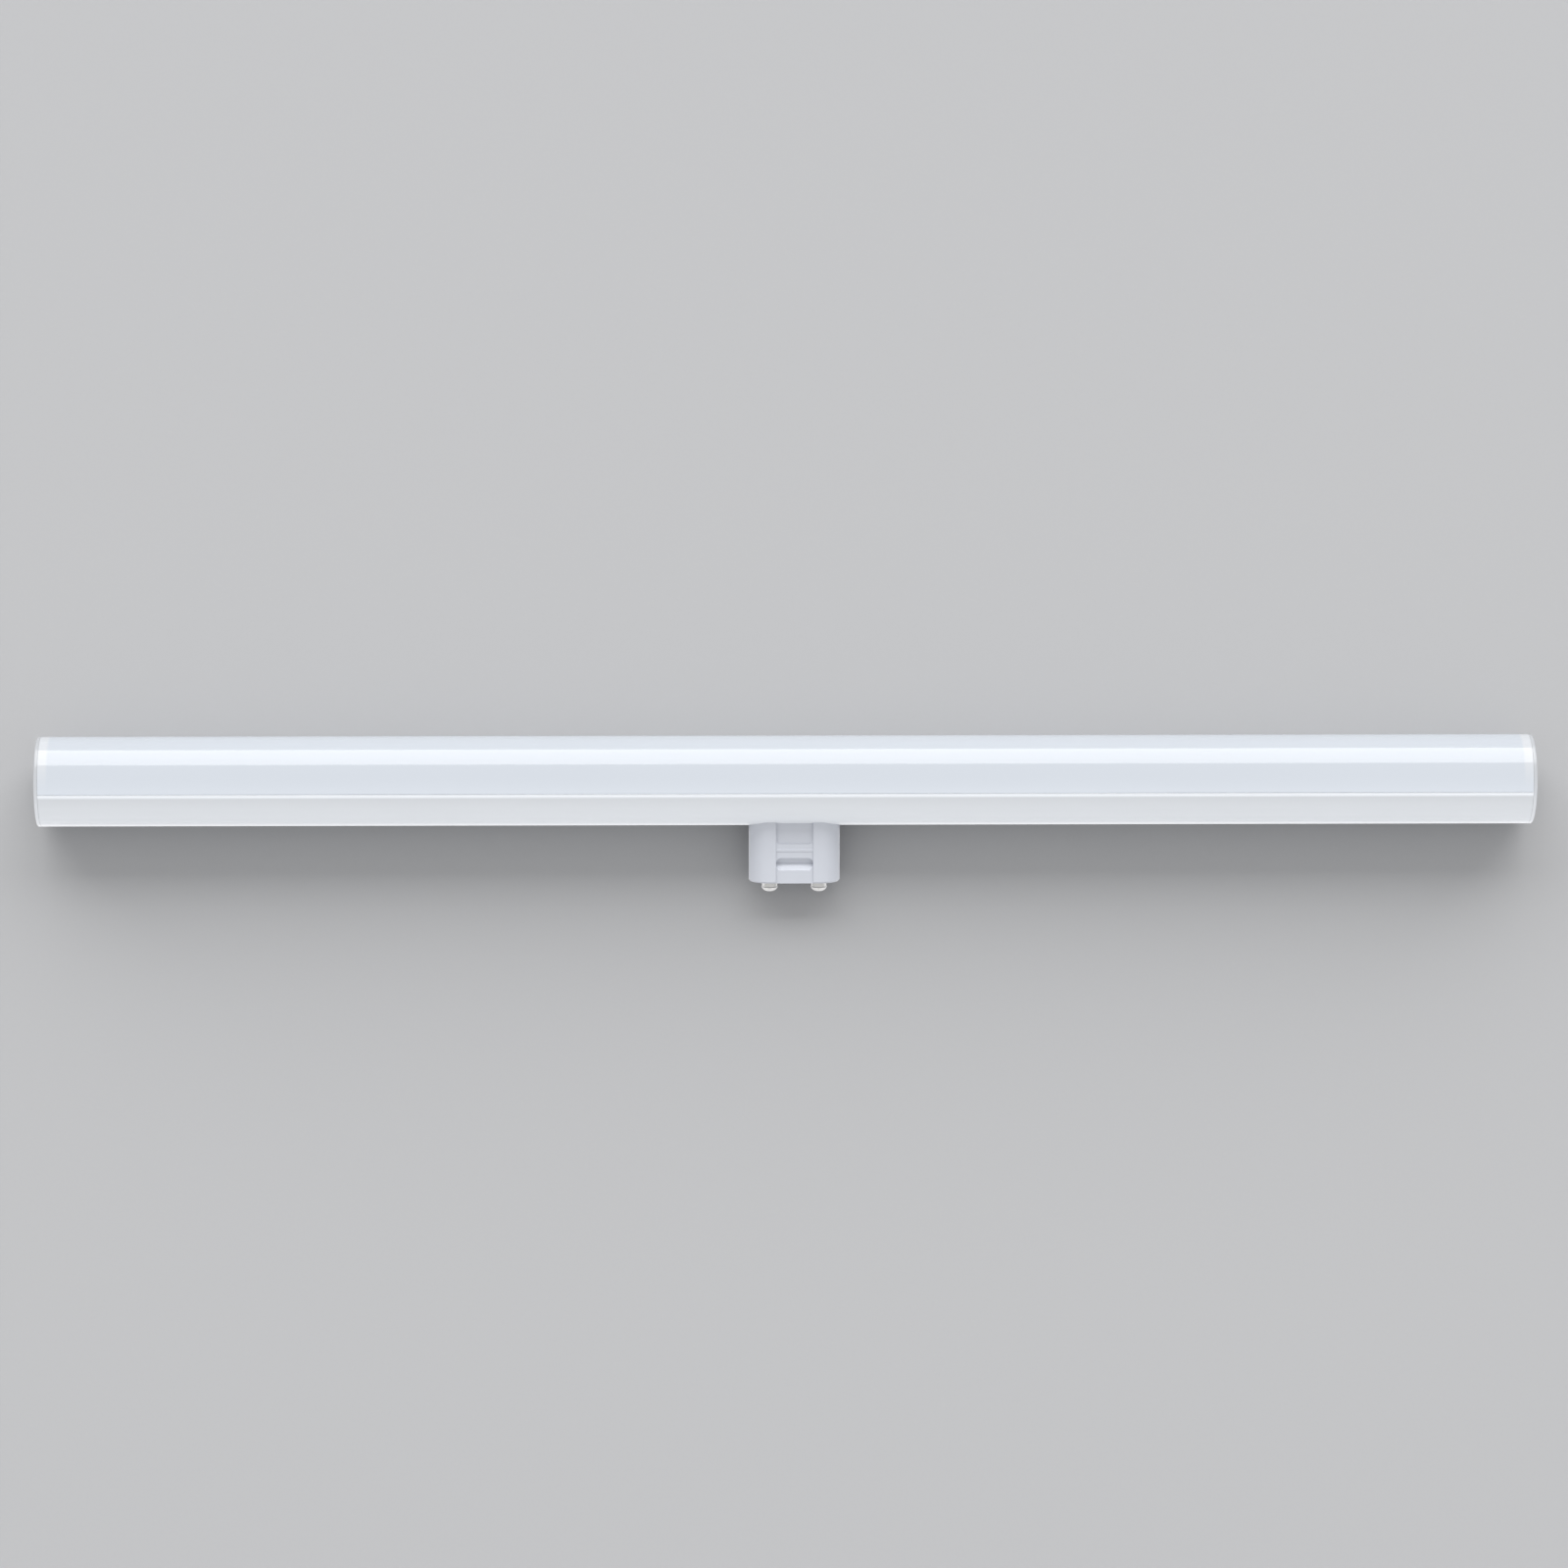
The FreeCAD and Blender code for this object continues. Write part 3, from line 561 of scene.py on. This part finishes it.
class LAMP_OT_housing(bpy.types.Operator):
    """White lower shell of the tube with its bead along both seams"""

    bl_idname = "lamp.housing"
    bl_label = "White housing"

    def execute(self, context):
        tube = settings().tube
        inner = RADIUS - tube.wall
        length = shell_length(tube)
        bead = tube.bead_radius
        drop = tube.seam_drop + bead
        reach = RADIUS + tube.bead_proud - bead
        half_bite = math.acos((RADIUS ** 2 + reach ** 2 - bead ** 2) / (2 * RADIUS * reach))
        start = math.asin(drop / reach) + half_bite
        bm = bmesh.new()
        ring_section(bm, math.pi + start, math.pi - 2 * start, inner, -length / 2)
        centre = Vector((-length / 2, -math.sqrt(reach ** 2 - drop ** 2), -drop))
        self.add_beads(bm, start, inner, centre)
        bmesh.ops.remove_doubles(bm, verts=bm.verts, dist=WELD)
        lengthen(bm, length)
        # The housing's finish paints a highlight along the bead
        material = white_finish("white_plastic", settings().finishes.housing, with_bead_highlight=True)
        finished_piece(bm, "housing_shell", material, "back_housing")
        return {"FINISHED"}

    def add_beads(self, bm, start, inner, centre):
        """Closes both upper ends of the section with the seam's bead and its flat top."""
        tube = settings().tube
        top = -tube.seam_drop - tube.seam_gap / 2
        low = Vector((centre.x, -RADIUS * math.cos(start), -RADIUS * math.sin(start)))
        spoke = low - centre
        turn = math.atan2(spoke.z, -spoke.y) - math.pi / 2
        outline = [bm.verts.new(low)]
        for _ in range(tube.bead_steps):
            outline.append(turn_point(bm, outline[-1], centre, turn / tube.bead_steps))
        outline[-1].co.z = top
        outline.append(bm.verts.new((centre.x, -math.sqrt(inner ** 2 - top ** 2), top)))
        outline.append(bm.verts.new((centre.x, -inner * math.cos(start), -inner * math.sin(start))))
        section = bm.faces.new(outline)
        bmesh.ops.mirror(bm, geom=outline + section.edges[:] + [section], axis="Y", merge_dist=0)


class LAMP_OT_caps(bpy.types.Operator):
    """Flat end caps with a rounded edge"""

    bl_idname = "lamp.caps"
    bl_label = "End caps"

    def execute(self, context):
        tube = settings().tube
        material = white_finish("cap_plastic", settings().finishes.cap)
        for side, name in ((-1, "left"), (1, "right")):
            bm = bmesh.new()
            bmesh.ops.create_cone(bm, cap_ends=True, segments=tube.steps, radius1=RADIUS,
                                  radius2=RADIUS, depth=tube.cap_flange)
            rim = [edge for edge in bm.edges if all(vert.co.z > 0 for vert in edge.verts)]
            round_off(bm, rim, tube.cap_round, "EDGES")
            outwards = Matrix.Rotation(side * math.pi / 2, 3, "Y")
            bmesh.ops.rotate(bm, verts=bm.verts, matrix=outwards)
            bmesh.ops.translate(bm, verts=bm.verts, vec=X * side * (LENGTH - tube.cap_flange) / 2)
            finished_piece(bm, "cap_disc_" + name, material, "end_cap_" + name)
        return {"FINISHED"}


class LAMP_OT_pins(bpy.types.Operator):
    """Turned contact pins with domed tips"""

    bl_idname = "lamp.pins"
    bl_label = "Contact pins"

    def execute(self, context):
        pins = settings().pins
        material = contact_finish()
        for name in ("left", "right"):
            middle = TO_ROW.inverted() @ Vector(mounts["contact_" + name]["pos_m"])
            bm = bmesh.new()
            self.draw_profile(bm, Vector((middle.x, 0, BASE_END.z)), pins)
            bmesh.ops.spin(bm, geom=bm.verts[:] + bm.edges[:], cent=(middle.x, 0, 0),
                           axis=(0, 0, 1), angle=math.tau, steps=pins.steps, use_merge=True)
            bmesh.ops.remove_doubles(bm, verts=bm.verts, dist=WELD)
            bmesh.ops.dissolve_degenerate(bm, edges=bm.edges, dist=WELD)
            finished_piece(bm, "pin_" + name, material, "contact_pin_" + name,
                           PIN_SMOOTH_ANGLE)
        return {"FINISHED"}

    def draw_profile(self, bm, seat, pins):
        """Half the pin's outline: sunk neck, side and domed tip, with its corners rounded."""
        tip = -pins.length
        outline = [(0, pins.sunk), (pins.neck_radius, pins.sunk),
                   (pins.neck_radius, -pins.neck_length), (pins.radius, -pins.neck_length),
                   (pins.radius, tip + pins.dome), (pins.bevel_radius, tip + pins.bevel),
                   (pins.flat_radius, tip), (0, tip)]
        points = [bm.verts.new(seat + Vector((r, 0, z))) for r, z in outline]
        for first, second in zip(points, points[1:]):
            bm.edges.new((first, second))
        round_off(bm, points[2:4], pins.edge, "VERTICES")
        round_off(bm, points[4:7], pins.dome_round, "VERTICES")


class LAMP_OT_finishes(bpy.types.Operator):
    """Finishes of the base and of all pieces inside the lamp"""

    bl_idname = "lamp.finishes"
    bl_label = "Finishes"

    def execute(self, context):
        slots = {part["node"]: part["material_slot"] for part in frame["record"]["subparts"]}
        made = {"base_plastic": base_finish()}
        for name, values in INNER_FINISHES.items():
            made[name] = inner_finish(name, *values)
        for node, piece in frame["nodes"].items():
            if slots[node] in made:
                for finish_slot in piece.material_slots:
                    finish_slot.link = "OBJECT"
                    finish_slot.material = made[slots[node]]
        return {"FINISHED"}


class LAMP_OT_stage(bpy.types.Operator):
    """Floor, lights and camera"""

    bl_idname = "lamp.stage"
    bl_label = "Stage"

    def execute(self, context):
        stage = settings().stage
        self.lay_floor(stage)
        self.set_even_light(stage)
        meshes = [piece for piece in bpy.data.objects if piece.type == "MESH"]
        tube = [piece for piece in meshes if piece.name in TUBE_PIECES]
        self.hang_high_lights(stage, [piece for piece in meshes if piece not in tube])
        self.hang_low_lights(stage, tube)
        self.place_camera(stage)
        return {"FINISHED"}

    def lay_floor(self, stage):
        """A wide plain floor under the lamp."""
        bm = bmesh.new()
        bmesh.ops.create_grid(bm, x_segments=1, y_segments=1, size=stage.floor_reach)
        shader = Shader("floor_paper")
        mottled = shader.mottle(shader.noise(shader.place(), 900.0), stage.floor, 0.99, 1.01)
        floor = add_mesh(bm, "floor", shader.finish(Base_Color=mottled, Roughness=0.9))

    def set_even_light(self, stage):
        """White light from all round."""
        world = bpy.data.worlds.new("studio")
        world.use_nodes = True
        background = world.node_tree.nodes["Background"]
        background.inputs["Color"].default_value = (1, 1, 1, 1)
        background.inputs["Strength"].default_value = stage.ambient
        bpy.context.scene.world = world

    def hang_high_lights(self, stage, others):
        """A long softbox behind the lamp for reflections, and farther off the key light."""
        spread = Vector((stage.softbox_width, stage.softbox_high - stage.softbox_low))
        middle = Vector((0, stage.softbox_away, (stage.softbox_high + stage.softbox_low) / 2))
        softbox = self.hang_panel("softbox", stage.softbox, spread, middle, FORWARDS)
        softbox.visible_diffuse = False
        farther = stage.key_away / stage.softbox_away
        key = self.hang_panel("key", stage.key, farther * spread, farther * middle, FORWARDS)
        self.keep_on(key, others)

    def hang_low_lights(self, stage, tube):
        """Low lights behind and before the lamp, and two sheets that lie on the floor before it."""
        spread = (stage.softbox_width, stage.fill_height)
        for side, name in ((1, "fill_back"), (-1, "fill_front")):
            middle = Vector((0, side * stage.fill_away, stage.fill_height / 2))
            self.keep_on(self.hang_panel(name, stage.fill, spread, middle, side * FORWARDS), tube)
        spread = (stage.softbox_width, stage.bounce_depth)
        middle = Vector((0, -RADIUS - stage.bounce_depth / 2, SHEET_HEIGHT))
        self.keep_on(self.hang_panel("bounce", stage.bounce, spread, middle, UPWARDS), tube)
        middle.y += AXIS.y
        sheen = self.hang_panel("sheen", stage.sheen, spread, middle, UPWARDS)
        sheen.visible_diffuse = False

    def hang_panel(self, name, radiance, spread, middle, tilt):
        """A light panel along the lamp, tilted from facing down."""
        light = bpy.data.lights.new(name, "AREA")
        light.shape = "RECTANGLE"
        light.size, light.size_y = spread
        light.energy = radiance * math.pi * light.size * light.size_y
        panel = bpy.data.objects.new(name, light)
        panel.location = middle
        panel.rotation_euler = (tilt, 0, 0)
        panel.visible_camera = False
        bpy.context.scene.collection.objects.link(panel)
        return panel

    def keep_on(self, panel, pieces):
        """Keeps a panel's light on some pieces, as flags do in a studio, and out of reflections."""
        lit = bpy.data.collections.new(panel.name + "_lights")
        for piece in pieces:
            lit.objects.link(piece)
        panel.light_linking.receiver_collection = lit
        panel.visible_glossy = False

    def place_camera(self, stage):
        """The camera looks down on the lamp from slightly on its base's side."""
        data = bpy.data.cameras.new("camera")
        data.lens = stage.lens
        data.sensor_width = SENSOR_WIDTH
        camera = bpy.data.objects.new("camera", data)
        turn = (Matrix.Rotation(stage.pitch, 3, "X") @ Matrix.Rotation(stage.yaw, 3, "Y")
                @ Matrix.Rotation(stage.roll, 3, "Z"))
        target = Vector((stage.target_x, stage.target_y, AXIS.z))
        camera.rotation_euler = turn.to_euler()
        camera.location = target + turn @ Vector((0, 0, stage.distance))
        bpy.context.scene.collection.objects.link(camera)
        bpy.context.scene.camera = camera
        bpy.context.scene.view_settings.view_transform = "Standard"


OPERATORS = (LAMP_OT_cover, LAMP_OT_housing, LAMP_OT_caps, LAMP_OT_pins, LAMP_OT_finishes,
             LAMP_OT_stage)


class LAMP_PT_dresser(bpy.types.Panel):
    """Lists the lamp's pieces in the sidebar"""

    bl_idname = "LAMP_PT_dresser"
    bl_label = "Line lamp"
    bl_space_type = "VIEW_3D"
    bl_region_type = "UI"
    bl_category = "Line lamp"

    def draw(self, context):
        for operator in OPERATORS:
            self.layout.operator(operator.bl_idname)


CLASSES = (TubeSizes, PinSizes, PanelShadeSizes, Finishes, StageSettings, LampSettings, *OPERATORS,
           LAMP_PT_dresser)


def register():
    """Adds the classes and the scene's settings."""
    for item in CLASSES:
        bpy.utils.register_class(item)
    bpy.types.Scene.line_lamp = PointerProperty(type=LampSettings)


def unregister():
    """Takes the classes and the scene's settings away."""
    del bpy.types.Scene.line_lamp
    for item in reversed(CLASSES):
        bpy.utils.unregister_class(item)


def main():
    """Builds every piece and the stage."""
    register()
    for operator in OPERATORS:
        group, name = operator.bl_idname.split(".")
        getattr(getattr(bpy.ops, group), name)()


if __name__ == "__main__":
    main()
